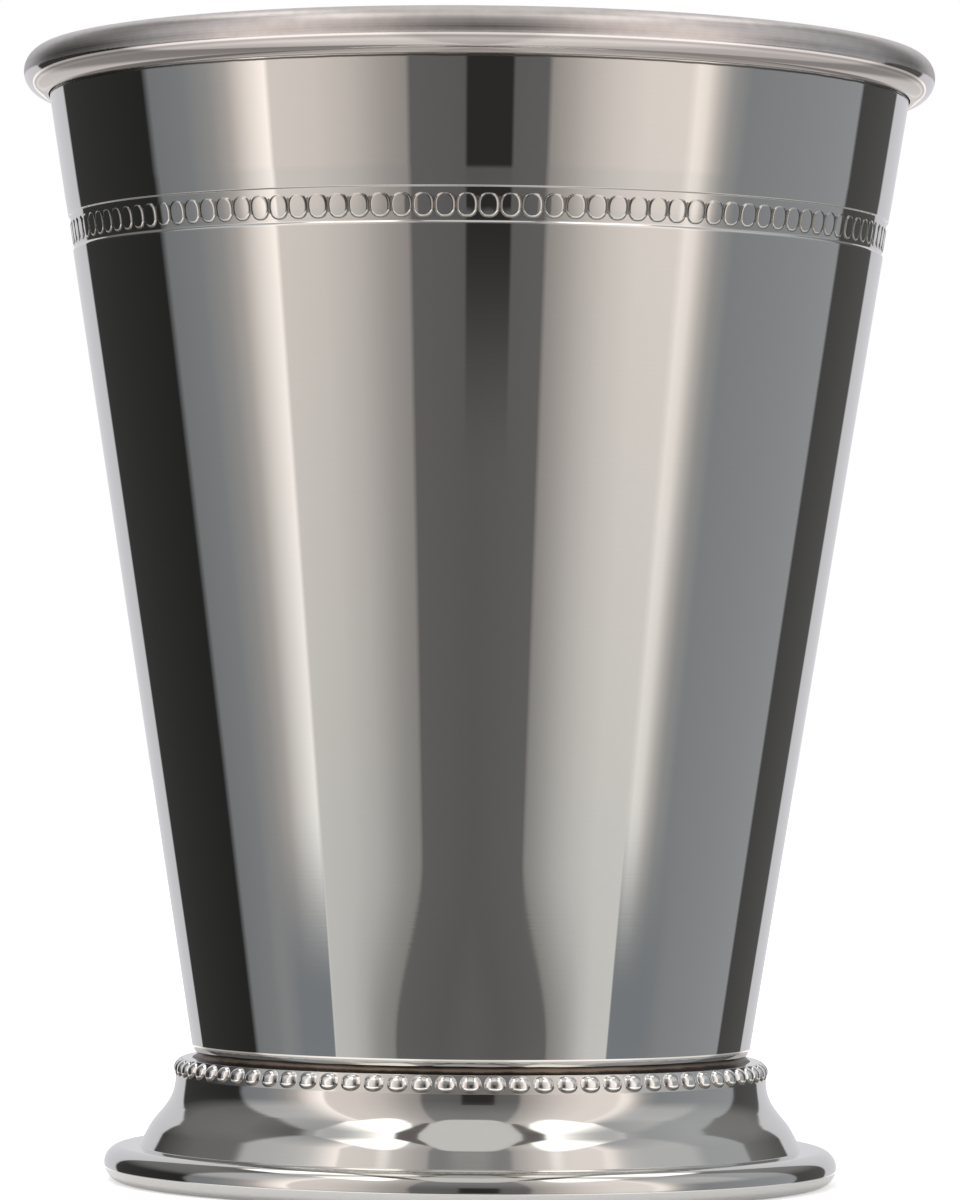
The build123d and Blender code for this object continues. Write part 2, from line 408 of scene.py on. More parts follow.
class BeadField:
    """A turned strip of sheet with a row of beads on it, all one mesh.
    The strip is straight in the half plane, from low to high, and has a bead in the middle of each cell."""

    side_steps = 4

    def __init__(self, body, low_ring, high_ring, low, high, middle, cell_columns):
        self.body = body
        self.low_ring, self.high_ring = low_ring, high_ring
        self.low, self.high = low, high
        self.middle = middle
        self.cell_columns = cell_columns
        self.cells = body.columns // cell_columns
        self.up = (high - low).normalized()
        self.out = right_of(low, high)
        self.sides = []
        for step in range(1, self.side_steps):
            point = low.lerp(high, step / self.side_steps)
            angles = [body.angle(cell * cell_columns) for cell in range(self.cells)]
            self.sides.append([body.add(point, angle) for angle in angles])

    def boundary(self, cell):
        """Numbers, angles and heights of the points round a cell, from its lower left corner."""
        first = cell * self.cell_columns
        around = range(first, first + self.cell_columns + 1)
        columns = self.body.columns
        steps = self.side_steps
        low_s = (self.low - self.middle).dot(self.up)
        high_s = (self.high - self.middle).dot(self.up)
        rows = [low_s + (high_s - low_s) * step / steps for step in range(1, steps)]
        after = (cell + 1) % self.cells
        loop = [(self.low_ring[c % columns], self.body.angle(c), low_s) for c in around]
        loop += [(ring[after], self.body.angle(around[-1]), s) for ring, s in zip(self.sides, rows)]
        loop += [(self.high_ring[c % columns], self.body.angle(c), high_s) for c in reversed(around)]
        loop += [(ring[cell], self.body.angle(first), s) for ring, s in zip(self.sides[::-1], rows[::-1])]
        return loop

    def turns(self, loop, centre, bead):
        """Directions from the bead's middle to the points round a cell, and half way between them."""
        spread = []
        for _, angle, s in loop:
            across = (angle - centre) * self.middle.x / bead.half_width
            spread.append(atan2(s / bead.half_length, across))
        turns = []
        for here, there in zip(spread, spread[1:] + spread[:1]):
            there += 2 * pi if there < here else 0
            turns += [here, (here + there) / 2]
        return turns

    def place(self, angle, s, lift):
        """Adds a point on the strip's surface, or lifted off it."""
        return self.body.add(self.middle + self.up * s + self.out * lift, angle)

    def tilted(self, angle, slope, across, along):
        """Normal of a bead's side that faces (across, along) and slopes away from the strip's own normal."""
        flat = self.out * cos(slope) + self.up * (along * sin(slope))
        x, y, z = turned(flat, angle)
        sideways = across * sin(slope)
        return (x - sin(angle) * sideways, y + cos(angle) * sideways, z)

    def fill(self, bead, finishes, painted_shade):
        """Makes the faces of every cell: strip, side of the bead, and top. Finishes are those of the bead,
        the strip and the painted shade, which lies on a face where the given test of (level, turn) is true."""
        bead_finish, strip_finish, painted_shade_finish = finishes
        for cell in range(self.cells):
            centre = self.body.angle((cell + 0.5) * self.cell_columns)
            top_centre = centre - bead.lean / self.middle.x
            loop = self.boundary(cell)
            turns = self.turns(loop, centre, bead)
            rings = self.bead_rings(bead, centre, top_centre, turns)
            strip = [painted_shade_finish if painted_shade(STRIP_LEVEL, turn) else strip_finish for turn in turns[1::2]]
            self.join_loop(loop, rings[0], strip)
            for level, (outer, inner) in enumerate(zip(rings, rings[1:])):
                for index, turn in enumerate(turns):
                    after = (index + 1) % len(turns)
                    finish = painted_shade_finish if painted_shade(level, turn) else bead_finish
                    self.body.face([outer[index], outer[after], inner[after], inner[index]], finish)
            top_lift = bead.side_lift + bead.rise
            top = (self.place(top_centre, 0.0, top_lift), turned(self.out, top_centre))
            for here, there in zip(rings[-1], rings[-1][1:] + rings[-1][:1]):
                self.body.face([here, there, top], bead_finish)

    def bead_rings(self, bead, centre, top_centre, turns):
        """Rings of points up a bead's side and over its top."""
        rings = []
        for inset, lift, slope in bead.profile:
            size = (bead.half_width - inset, bead.half_length - inset)
            stand = centre + (top_centre - centre) * lift / bead.side_lift
            rings.append(self.bead_ring(bead, stand, turns, size, lift, slope, bead.skew))
        for step in range(bead.top_rings):
            share = 1 - (step + 1) / (bead.top_rings + 1)
            size = bead.top_size * share
            lift = bead.side_lift + bead.rise * (1 - share ** 2)
            rings.append(self.bead_ring(bead, top_centre, turns, size, lift, bead.crown * share, 0.0))
        return rings

    def bead_ring(self, bead, centre, turns, size, lift, slope, skew):
        """One ring of points round a bead, with their normals."""
        half_width, half_length = size
        power = bead.squareness
        ring = []
        for turn in turns:
            across, along = cos(turn), sin(turn)
            swell = (abs(across) ** power + abs(along) ** power) ** (-1 / power)
            across, along = across * swell, along * swell
            facing = Vector((copysign(abs(across) ** (power - 1), across) / half_width,
                             copysign(abs(along) ** (power - 1), along) / half_length)).normalized()
            angle = centre + half_width * across / self.middle.x
            number = self.place(angle, half_length * along, lift)
            steepness = atan(tan(slope) / (1 + skew * facing.x))
            ring.append((number, self.tilted(angle, steepness, facing.x, facing.y)))
        return ring

    def join_loop(self, loop, root, finishes):
        """Faces of the flat strip between a cell's edge and the root of its bead, each with its finish."""
        edge = [(number, turned(self.out, angle)) for number, angle, _ in loop]
        for index, here in enumerate(edge):
            there = edge[(index + 1) % len(edge)]
            arch = [root[(2 * index + step) % len(root)] for step in (2, 1, 0)]
            self.body.face([here, there] + arch, finishes[index])


# Node helpers

def opaque(tint):
    """Colour with full alpha."""
    return (*tint, 1.0)


def plug(tree, sockets, values):
    """Sets sockets to values, or links them where the value is an output."""
    for socket, value in zip(sockets, values):
        if isinstance(value, bpy.types.NodeSocket):
            tree.links.new(value, socket)
        else:
            socket.default_value = value


def feed(tree, node, values):
    """Sets or links the inputs of a node by their names."""
    plug(tree, [node.inputs[name] for name in values], values.values())


def calc(tree, operation, *inputs, clamp=False):
    """Output of a Math node whose inputs are numbers or other outputs."""
    node = tree.nodes.new("ShaderNodeMath")
    node.operation = operation
    node.use_clamp = clamp
    plug(tree, node.inputs, inputs)
    return node.outputs[0]


def product(tree, first, *others):
    """Product of masks or values."""
    for other in others:
        first = calc(tree, "MULTIPLY", first, other)
    return first


def fade(tree, value, low, high):
    """Smooth mask that goes from 0 at low to 1 at high."""
    node = tree.nodes.new("ShaderNodeMapRange")
    node.interpolation_type = "SMOOTHSTEP"
    plug(tree, node.inputs, (value, low, high, 0.0, 1.0))
    return node.outputs[0]


def within(tree, value, low, high, softness):
    """Smooth mask of a range."""
    rises = fade(tree, value, low - softness, low + softness)
    falls = fade(tree, value, high + softness, high - softness)
    return product(tree, rises, falls)


def past(tree, value, edge, softness):
    """Smooth mask of what lies past an edge that changes from place to place."""
    return fade(tree, calc(tree, "SUBTRACT", value, edge), -softness, softness)


def blend(tree, factor, a, b, mode="MIX"):
    """Output of a colour Mix node."""
    node = tree.nodes.new("ShaderNodeMix")
    node.data_type = "RGBA"
    node.blend_type = mode
    plug(tree, (node.inputs[0], node.inputs[6], node.inputs[7]), (factor, a, b))
    return node.outputs[2]


def ramp(tree, value, stops):
    """Colour output of a ramp with (place, colour) stops."""
    node = tree.nodes.new("ShaderNodeValToRGB")
    elements = node.color_ramp.elements
    while len(elements) < len(stops):
        elements.new(0.5)
    for element, (place, tint) in zip(elements, stops):
        element.position = place
        element.color = opaque(tint)
    plug(tree, node.inputs, (value,))
    return node.outputs[0]


def noise(tree, vector, scale, detail, roughness=0.5):
    """Value output of a noise texture."""
    node = tree.nodes.new("ShaderNodeTexNoise")
    feed(tree, node, {"Vector": vector, "Scale": scale, "Detail": detail, "Roughness": roughness})
    return node.outputs[0]


def split_axes(tree, vector):
    """The x, y and z outputs of a vector."""
    split = tree.nodes.new("ShaderNodeSeparateXYZ")
    plug(tree, split.inputs, (vector,))
    return split.outputs


def bump_normal(tree, strength, distance, height):
    """Normal output of a Bump node."""
    bump = tree.nodes.new("ShaderNodeBump")
    feed(tree, bump, {"Strength": strength, "Distance": distance, "Height": height})
    return bump.outputs[0]


def new_material(name):
    """Empty node material, its tree and its shader."""
    material = bpy.data.materials.new(name)
    material.use_nodes = True
    tree = material.node_tree
    return material, tree, tree.nodes["Principled BSDF"]


# Finishes. Polish is the roughness where polished and where satin, the height where satin begins, and the
# smudge. Lines are their pitch and depth. Crevices are the heights of two, and the reach of the dark brown
# in them, which is dirt and painted shade.

# Heights where satin begins, above and below every piece
ALL_POLISHED = 1.0
ALL_SATIN = -1.0
NO_CREVICES = (1.0, 1.0, 0.1 * MM)
CREVICE_REACH = 0.14 * MM
SATIN_POLISH = (0.26, 0.26, ALL_SATIN, 0.05)
SATIN_LINES = (0.22 * MM, 0.004 * MM)
WALL_LINES = (0.28 * MM, 0.002 * MM)
RIM_LINES = (0.2 * MM, 0.004 * MM)
FOOT_LINES = (0.24 * MM, 0.003 * MM)

NOISE_MIDDLE = 0.5
# Turning lines go by height and by this share of the radius, so level faces have them too
LINE_SLANT = 0.35
SATIN_EDGE = (-0.1 * MM, 0.15 * MM)
# Depth of tone changes and of turning lines: where polished, and what satin adds
TONE_DEPTH = (0.015, 0.24)
LINE_DEPTH = (0.05, 0.95)
LINE_GRAIN = 0.4
SPECK_SCALE = 900.0
SMUDGE_SCALE = 60.0
SMUDGE_EDGE = (0.45, 0.75)
# Dark brown in the two crevices: dirt, and painted shade where little light reaches into them
DIRT_AND_SHADE_SCALE = 420.0
DIRT_AND_SHADE_EDGE = (1.0, 0.3)
DIRT_AND_SHADE_COVER = 0.85
DIRT_AND_SHADE_ROUGHNESS = 0.35
CREVICE_DIRT_AND_SHADE = (0.05, 0.037, 0.028)


def even_polish(roughness, smudge):
    """Polish that is the same all over."""
    return (roughness, roughness, ALL_POLISHED, smudge)


def steel_finish_group():
    """Shared finish of worked steel: polished below a height and satin above it, with turning lines round
    the axis, smudges, faint tone changes, and dirt with painted shade in two crevices."""
    name = "worked_steel"
    if name in bpy.data.node_groups:
        return bpy.data.node_groups[name]
    tree = bpy.data.node_groups.new(name, "ShaderNodeTree")
    sockets = tree.interface
    steel = sockets.new_socket("Steel", in_out="INPUT", socket_type="NodeSocketColor")
    steel.default_value = (0.6, 0.6, 0.6, 1.0)
    for label, value in (("Polished", 0.05), ("Satin", 0.25), ("Satin height", ALL_POLISHED),
                         ("Smudge", 0.03), ("Line pitch", 0.3 * MM), ("Upper crevice", 0.1),
                         ("Lower crevice", 0.01), ("Crevice reach", 0.2 * MM)):
        sockets.new_socket(label, in_out="INPUT", socket_type="NodeSocketFloat").default_value = value
    sockets.new_socket("Colour", in_out="OUTPUT", socket_type="NodeSocketColor")
    for label in ("Roughness", "Height"):
        sockets.new_socket(label, in_out="OUTPUT", socket_type="NodeSocketFloat")
    given = tree.nodes.new("NodeGroupInput").outputs
    result = tree.nodes.new("NodeGroupOutput")

    place = tree.nodes.new("ShaderNodeTexCoord").outputs["Object"]
    x, y, z = split_axes(tree, place)
    radius = calc(tree, "SQRT", calc(tree, "ADD", product(tree, x, x), product(tree, y, y)))
    along = calc(tree, "MULTIPLY_ADD", radius, LINE_SLANT, z)
    satin = fade(tree, calc(tree, "SUBTRACT", z, given["Satin height"]), *SATIN_EDGE)

    turning = tree.nodes.new("ShaderNodeTexNoise")
    turning.noise_dimensions = "1D"
    line_place = calc(tree, "DIVIDE", along, given["Line pitch"])
    feed(tree, turning, {"W": line_place, "Scale": 1.0, "Detail": 3.0})
    lines = calc(tree, "SUBTRACT", turning.outputs[0], NOISE_MIDDLE)
    specks = calc(tree, "SUBTRACT", noise(tree, place, SPECK_SCALE, detail=2.0), NOISE_MIDDLE)
    polished_tone, satin_tone = TONE_DEPTH
    contrast = calc(tree, "MULTIPLY_ADD", satin, satin_tone, polished_tone)
    tone = calc(tree, "MULTIPLY_ADD", calc(tree, "ADD", lines, specks), contrast, 1.0)
    tint = tree.nodes.new("ShaderNodeVectorMath")
    tint.operation = "SCALE"
    plug(tree, (tint.inputs[0], tint.inputs["Scale"]), (given["Steel"], tone))

    extra = calc(tree, "SUBTRACT", given["Satin"], given["Polished"])
    grain = calc(tree, "MULTIPLY_ADD", satin, extra, given["Polished"])
    grain = product(tree, grain, calc(tree, "MULTIPLY_ADD", lines, LINE_GRAIN, 1.0))
    smudged = fade(tree, noise(tree, place, SMUDGE_SCALE, detail=4.0, roughness=0.6), *SMUDGE_EDGE)
    roughness = calc(tree, "MULTIPLY_ADD", smudged, given["Smudge"], grain)

    # Dirt and painted shade in the two crevices: darkest at their heights, with a wandering edge
    wander = calc(tree, "SUBTRACT", noise(tree, place, DIRT_AND_SHADE_SCALE, detail=3.0), NOISE_MIDDLE)
    wandering = calc(tree, "ADD", z, product(tree, wander, given["Crevice reach"]))
    offsets = []
    for label in ("Upper crevice", "Lower crevice"):
        offsets.append(calc(tree, "ABSOLUTE", calc(tree, "SUBTRACT", wandering, given[label])))
    depth = calc(tree, "DIVIDE", calc(tree, "MINIMUM", *offsets), given["Crevice reach"])
    dirt_and_shade = product(tree, fade(tree, depth, *DIRT_AND_SHADE_EDGE), DIRT_AND_SHADE_COVER)
    stained_and_shaded = blend(tree, dirt_and_shade, tint.outputs[0], opaque(CREVICE_DIRT_AND_SHADE))
    roughness = calc(tree, "MULTIPLY_ADD", dirt_and_shade, DIRT_AND_SHADE_ROUGHNESS, roughness)
    polished_depth, satin_depth = LINE_DEPTH
    height = product(tree, lines, calc(tree, "MULTIPLY_ADD", satin, satin_depth, polished_depth))
    plug(tree, result.inputs, (stained_and_shaded, roughness, height))
    return tree


def steel_material(name, steel, polish, lines, crevices=NO_CREVICES):
    """Steel with the shared finish."""
    material, tree, shader = new_material(name)
    finish = tree.nodes.new("ShaderNodeGroup")
    finish.node_tree = steel_finish_group()
    line_pitch, line_depth = lines
    plug(tree, finish.inputs, (opaque(steel), *polish, line_pitch, *crevices))
    normal = bump_normal(tree, 1.0, line_depth, finish.outputs["Height"])
    colours, roughness = finish.outputs["Colour"], finish.outputs["Roughness"]
    feed(tree, shader, {"Base Color": colours, "Roughness": roughness, "Normal": normal})
    shader.inputs["Metallic"].default_value = 1.0
    return material


def cup_materials(finishes, lines, satin_height):
    """Finishes of the cup: outside, inside, rim, band's lower edge, and painted shade between the beads."""
    # The seam under the roll and the ledge are the two crevices darkened with dirt and painted shade
    crevices = (lines.wall_top.y, lines.ledge, CREVICE_REACH)
    return [
        steel_material("cup_polished_steel", finishes.cup_steel, even_polish(0.02, 0.012), WALL_LINES,
                       crevices),
        steel_material("cup_satin_steel", finishes.satin_steel, SATIN_POLISH, SATIN_LINES),
        steel_material("rim_turned_steel", finishes.rim_steel, (0.05, 0.33, satin_height, 0.03), RIM_LINES,
                       crevices),
        steel_material("band_edge_steel", finishes.edge_steel, even_polish(0.08, 0.04), WALL_LINES),
        steel_material("band_root_painted_shade", finishes.root_painted_shade, even_polish(0.28, 0.04), WALL_LINES),
    ]


def foot_materials(finishes):
    """Finishes of the foot: outside, underside, beads with painted sheen, and painted shade below them."""
    return [
        steel_material("foot_polished_steel", finishes.foot_steel, even_polish(0.06, 0.03), FOOT_LINES),
        steel_material("foot_satin_steel", finishes.satin_steel, SATIN_POLISH, SATIN_LINES),
        steel_material("shoulder_bead_painted_sheen", finishes.bead_steel_painted_sheen, even_polish(0.12, 0.05), FOOT_LINES),
        steel_material("shoulder_root_painted_shade", finishes.root_painted_shade, even_polish(0.3, 0.05), FOOT_LINES),
    ]


def braze_material(name, tint, ledge):
    """Dull filler metal: darker along the ledge, as painted shade in the crevice, and paler and patchy
    where it meets the wall, the paler part a painted highlight.
    """
    painted_shade_share, painted_highlight_share = 0.3, 2.8
    patch_reach, climb_edge = 0.5 * MM, (0.3 * MM, 0.62 * MM)
    least_roughness, patch_roughness = 0.25, 0.3
    patch_scale, grain_scale = 420.0, 2600.0
    material, tree, shader = new_material(name)
    place = tree.nodes.new("ShaderNodeTexCoord").outputs["Object"]
    above_ledge = calc(tree, "SUBTRACT", split_axes(tree, place)[2], ledge)
    blotches = noise(tree, place, patch_scale, detail=5.0, roughness=0.65)
    climb = calc(tree, "MULTIPLY_ADD", blotches, patch_reach, above_ledge)
    # Painted shade low in the crevice and a painted highlight higher up, with a patchy edge between them
    dark = tuple(painted_shade_share * channel for channel in tint)
    light = tuple(min(1.0, painted_highlight_share * channel) for channel in tint)
    surface = ramp(tree, fade(tree, climb, *climb_edge), [(0.0, dark), (0.5, tuple(tint)), (1.0, light)])
    roughness = calc(tree, "MULTIPLY_ADD", blotches, patch_roughness, least_roughness)
    grain = noise(tree, place, grain_scale, detail=3.0)
    normal = bump_normal(tree, strength=0.6, distance=0.03 * MM, height=grain)
    feed(tree, shader, {"Base Color": surface, "Roughness": roughness, "Normal": normal})
    shader.inputs["Metallic"].default_value = 0.85
    return material


def keep(piece, node):
    """Hands a piece to the frame: it rides on the root and stands for a CAD node, which is hidden."""
    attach(piece, "root")
    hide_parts(node)


# Cup

WALL_ROW = 8 * MM
BAND_CELL_COLUMNS = 3
# Share of the inner wall, from the lip down, that has the rim's finish
SHINE_SHARE = 0.012


class CupLines:
    """Lines of the cup's outline that more than one piece needs."""

    def __init__(self, settings):
        cup, foot = settings.cup, settings.foot
        self.ledge = foot.height
        self.wall_foot = Vector((cup.wall_foot_radius, foot.height))
        self.wall_top = Vector((cup.rim_radius - cup.rim_overhang, cup.height - 2 * cup.roll_radius))
        self.up = (self.wall_top - self.wall_foot).normalized()
        self.out = Vector((self.up.y, -self.up.x))
        self.lean = atan2(self.up.x, self.up.y)
        self.corner = cup.floor_bend + cup.sheet
        run = self.corner * tan(pi / 4 - self.lean / 2)
        self.bend_centre = Vector((self.wall_foot.x - run, foot.height + self.corner))

    def wall(self, height):
        """Outside of the wall at a height."""
        return self.wall_foot + self.up * ((height - self.ledge) / self.up.y)


class RimLines:
    """Fold and roll of the rim, which join smoothly. Angles are about the centre of the one or the other."""

    def __init__(self, cup, lines):
        self.fold_radius, self.roll_radius = cup.fold_radius, cup.roll_radius
        self.hollow = cup.roll_radius - cup.sheet
        self.lip = cup.fold_radius + cup.sheet
        self.lip_centre = lines.wall(cup.height - self.lip) + Vector((cup.fold_radius / lines.up.y, 0))
        roll_line = cup.rim_radius - cup.roll_radius
        self.join = acos((self.lip_centre.x - roll_line) / (cup.roll_radius - self.lip))
        self.roll_centre = polar(self.lip_centre, self.lip - cup.roll_radius, self.join)
        self.inward, self.outward = pi - lines.lean, -lines.lean
        self.seam = cup.seam_gap - (self.roll_centre - lines.wall_foot).dot(lines.out)

    def inside(self):
        """Stations inside the roll, from the top of the wall to the free edge."""
        free_edge = self.outward - acos(self.seam / self.hollow)
        fold = arc(self.lip_centre, self.fold_radius, self.inward, self.join, steps=6)
        return fold + arc(self.roll_centre, self.hollow, self.join, free_edge, steps=12)[1:]

    def outside(self):
        """Stations outside the roll, from the free edge to the inner side of the lip."""
        free_edge = self.outward - acos(self.seam / self.roll_radius)
        roll = arc(self.roll_centre, self.roll_radius, free_edge, self.join, steps=44)
        return roll + arc(self.lip_centre, self.lip, self.join, self.inward, steps=18)[1:]


class BandLines:
    """Channel of the beaded band, and the wall below and above it."""

    def __init__(self, cup, lines, wall_end):
        flank_bend, flank_root, edge_reach = 0.36 * MM, 0.12 * MM, 0.12 * MM
        step_bend, step_root = 0.12 * MM, 0.05 * MM
        margin = lines.up * (0.08 * MM)
        middle = lines.wall(cup.band_height)
        half_mouth = lines.up * (cup.band_width / 2)
        depth = lines.out * cup.band_depth
        floor_low = middle - half_mouth + lines.up * cup.band_flank - depth
        floor_high = middle + half_mouth - lines.up * cup.band_step - depth
        drawn_edge = middle + half_mouth - lines.out * cup.draw_depth
        draw_start = middle + half_mouth + lines.up * cup.draw_run
        self.middle, self.up = middle, lines.up
        self.bead_middle = middle - depth - lines.up * cup.bead_drop
        self.edge_start = -cup.band_width / 2 - edge_reach
        self.below = bent([Vector((0, lines.ledge)), lines.wall_foot, middle - half_mouth, floor_low,
                           floor_low + margin], [lines.corner, flank_bend, flank_root])
        self.above = bent([floor_high - margin, floor_high, drawn_edge, draw_start, wall_end],
                          [step_root, step_bend, cup.draw_bend])

    def in_edge(self, point):
        """Whether a point of the wall below belongs to the channel's burnished lower edge."""
        return (point - self.middle).dot(self.up) > self.edge_start


class JULEP_OT_cup(bpy.types.Operator):
    """Turn the cup: floor, tapered wall, beaded band and rolled rim"""

    bl_idname = "julep.cup"
    bl_label = "Cup"

    def execute(self, context):
        settings = context.scene.julep_cup
        cup = settings.cup
        lines = CupLines(settings)
        rim = RimLines(cup, lines)
        inside_roll, outside_roll = rim.inside(), rim.outside()
        band = BandLines(cup, lines, inside_roll[0][0])
        polished, satin, turned_rim, burnished, painted_shade = range(5)
        body = TurnedMesh(BAND_CELL_COLUMNS * cup.bead_count)

        wall, lower_edge = parted(spaced(band.below, WALL_ROW), band.in_edge)
        _, ring = body.sweep(wall)
        _, low_ring = body.sweep(lower_edge, first=ring, finish=burnished)
        high_ring, ring = body.sweep(spaced(band.above, WALL_ROW) + inside_roll[1:])
        field = BeadField(body, low_ring, high_ring, band.below[-1][0], band.above[0][0], band.bead_middle,
                          BAND_CELL_COLUMNS)
        profile = pillow_rings(height=0.06 * MM, run=0.18 * MM, root=0.1 * MM, crown=radians(1.5))
        bead = Bead(cup.bead_width / 2, cup.bead_length / 2, profile, top_rings=2, squareness=2.5,
                    lean=0.04 * MM)
        # The last finish is painted shade: dark steel in the gaps between beads, round their roots and up
        # their left sides
        field.fill(bead, (polished, polished, painted_shade), band_painted_shade)

        _, ring = body.sweep(line(inside_roll[-1][0], outside_roll[0][0]), first=ring)
        inner_top = outside_roll[-1][0]
        inner_foot = polar(lines.bend_centre, cup.floor_bend, rim.outward)
        shine_end = inner_top.lerp(inner_foot, SHINE_SHARE)
        _, ring = body.sweep(outside_roll + line(inner_top, shine_end)[1:], first=ring, finish=turned_rim)
        inside = line(shine_end, inner_foot, steps=12)
        inside += arc(lines.bend_centre, cup.floor_bend, rim.outward, -UPWARD, steps=8)[1:]
        inside += line(inside[-1][0], Vector((0, lines.ledge + cup.sheet)), steps=4)[1:]
        body.sweep(inside, first=ring, finish=satin)

        satin_height = polar(rim.roll_centre, cup.roll_radius, cup.satin_angle).y
        piece = body.build("cup", cup_materials(settings.finishes, lines, satin_height))
        keep(piece, "cup_body")
        return {"FINISHED"}


# Foot

LEDGE_ROW = 1 * MM
UNDERSIDE_ROW = 2 * MM
SHOULDER_CELL_COLUMNS = 4


class JULEP_OT_foot(bpy.types.Operator):
    """Turn the foot: flange, beaded shoulder, ogee and rolled base edge"""

    bl_idname = "julep.foot"
    bl_label = "Foot"

    def execute(self, context):
        settings = context.scene.julep_cup
        foot = settings.foot
        sheet = foot.sheet
        polished, satin, burnished, painted_shade = range(4)
        body = TurnedMesh(SHOULDER_CELL_COLUMNS * foot.bead_count)
        neck = foot.ledge_radius + foot.shoulder_run
        roll = foot.roll_height / 2
        groove = foot.base_radius - foot.roll_height
        roll_centre = Vector((foot.base_radius - roll, roll))
        free_edge = foot.base_radius - foot.land
        hole = Vector((foot.hole_radius, foot.height))
        ledge = Vector((foot.ledge_radius, foot.height))
        shoulder = Vector((neck, foot.height - foot.shoulder_drop))
        cove = Vector((neck, foot.height - foot.cove_drop))
        toe = Vector((groove - foot.toe_run, foot.roll_height + foot.toe_rise))
        flank_middle = cove.lerp(toe, 0.5) - right_of(toe, cove) * foot.flank_hollow
        crevice = Vector((groove, foot.roll_height))
        roll_top = Vector((roll_centre.x, foot.roll_height))
        slope = (ledge - shoulder).normalized()
        margin = slope * (0.03 * MM)
        corner, crease = 0.05 * MM, 0.06 * MM
        inner_bend, inner_crease = 0.5 * sheet, 0.4 * sheet

        land = line(Vector((free_edge, 0)), Vector((roll_centre.x, 0)))
        edge = arc(roll_centre, roll, -UPWARD, UPWARD, steps=40)
        flank = bent([roll_top, crevice, toe, flank_middle, cove, shoulder, shoulder + margin],
                     [crease, foot.toe_bend, foot.flank_bend, foot.cove_bend, crease], FLANK_TURN)
        start, low_ring = body.sweep(land + edge[1:] + flank[1:])
        top = bent([ledge - margin, ledge, hole], [corner])
        high_ring, ring = body.sweep(spaced(top, LEDGE_ROW))
        bead_middle = ledge - slope * (foot.bead_drop / slope.y)
        field = BeadField(body, low_ring, high_ring, flank[-1][0], top[0][0], bead_middle,
                          SHOULDER_CELL_COLUMNS)
        half_width, half_length = foot.bead_width / 2, foot.bead_length / 2
        profile = dome_rings(half_width, half_length, foot.bead_proud)
        bead = Bead(half_width, half_length, profile, top_rings=0, squareness=2.2, lean=0.0)
        # The beads' finish is lightened as a painted sheen, and the last finish paints shade along their
        # lower sides
        field.fill(bead, (burnished, polished, painted_shade), shoulder_painted_shade)

        visible = [hole, ledge, shoulder, cove, flank_middle, toe, crevice, roll_top]
        hidden = mitred(visible, sheet)
        _, ring = body.sweep(line(hole, hidden[0]), first=ring)
        back = bent(hidden, [inner_bend, inner_bend, foot.cove_bend + sheet, foot.flank_bend + sheet,
                             foot.toe_bend - sheet, inner_crease])
        back += arc(roll_centre, roll - sheet, UPWARD, -UPWARD, steps=12)[1:]
        back += line(back[-1][0], Vector((free_edge, sheet)))[1:]
        _, ring = body.sweep(spaced(back, UNDERSIDE_ROW), first=ring, finish=satin)
        body.sweep(line(Vector((free_edge, sheet)), Vector((free_edge, 0))), first=ring, last=start)

        piece = body.build("foot_shell", foot_materials(settings.finishes))
        keep(piece, "foot")
        return {"FINISHED"}


# Braze. Waves along its two edges are (share, waves round the cup, start).

TOE_WAVES = [(0.5, 7, 0.4), (0.3, 19, 2.1), (0.2, 43, 1.0)]
CLIMB_WAVES = [(0.6, 5, 1.7), (0.4, 23, 0.2)]
BRAZE_COLUMNS = 360
FACE_STEPS = 6
BACK_STEPS = 4
FACE_SAG = 0.12
BACK_END = -0.92 * UPWARD


def wave(waves, angle):
    """Sum of some waves at an angle about the axis."""
    return sum(share * sin(number * angle + start) for share, number, start in waves)


def braze_section(braze, lines, angle):
    """Outline of the braze at an angle: hollow face, back along the cup's corner, and ledge."""
    toe = Vector((lines.wall_foot.x + braze.reach + braze.sway * wave(TOE_WAVES, angle), lines.ledge))
    way = toe - lines.bend_centre
    contact = atan2(way.y, way.x) + braze.sway / lines.corner * wave(CLIMB_WAVES, angle)
    high = polar(lines.bend_centre, lines.corner, contact)
    sag = right_of(toe, high) * -(FACE_SAG * (high - toe).length)
    section = []
    for step in range(FACE_STEPS + 1):
        share = step / FACE_STEPS
        section.append(toe.lerp(high, share) + sag * (4 * share * (1 - share)))
    for step in range(1, BACK_STEPS + 1):
        turn = contact + (BACK_END - contact) * step / BACK_STEPS
        section.append(polar(lines.bend_centre, lines.corner, turn))
    section.append(Vector((section[-1].x, lines.ledge)))
    return section


class JULEP_OT_braze(bpy.types.Operator):
    """Run the braze into the crevice between cup and foot"""

    bl_idname = "julep.braze"
    bl_label = "Braze"

    def execute(self, context):
        settings = context.scene.julep_cup
        lines = CupLines(settings)
        points, faces = [], []
        for column in range(BRAZE_COLUMNS):
            angle = 2 * pi * column / BRAZE_COLUMNS
            section = braze_section(settings.braze, lines, angle)
            points += [(point.x * cos(angle), point.x * sin(angle), point.y) for point in section]
        size = len(section)
        for column in range(BRAZE_COLUMNS):
            here, there = column * size, (column + 1) % BRAZE_COLUMNS * size
            for step in range(size):
                after = (step + 1) % size
                faces.append([here + step, there + step, there + after, here + after])
        mesh = bpy.data.meshes.new("braze")
        mesh.from_pydata(points, [], faces)
        mesh.polygons.foreach_set("use_smooth", [True] * len(mesh.polygons))
        mesh.set_sharp_from_angle(angle=radians(50))
        mesh.materials.append(braze_material("braze_filler", settings.finishes.braze, lines.ledge))
        piece = bpy.data.objects.new("braze", mesh)
        context.scene.collection.objects.link(piece)
        keep(piece, "braze_ring")
        return {"FINISHED"}


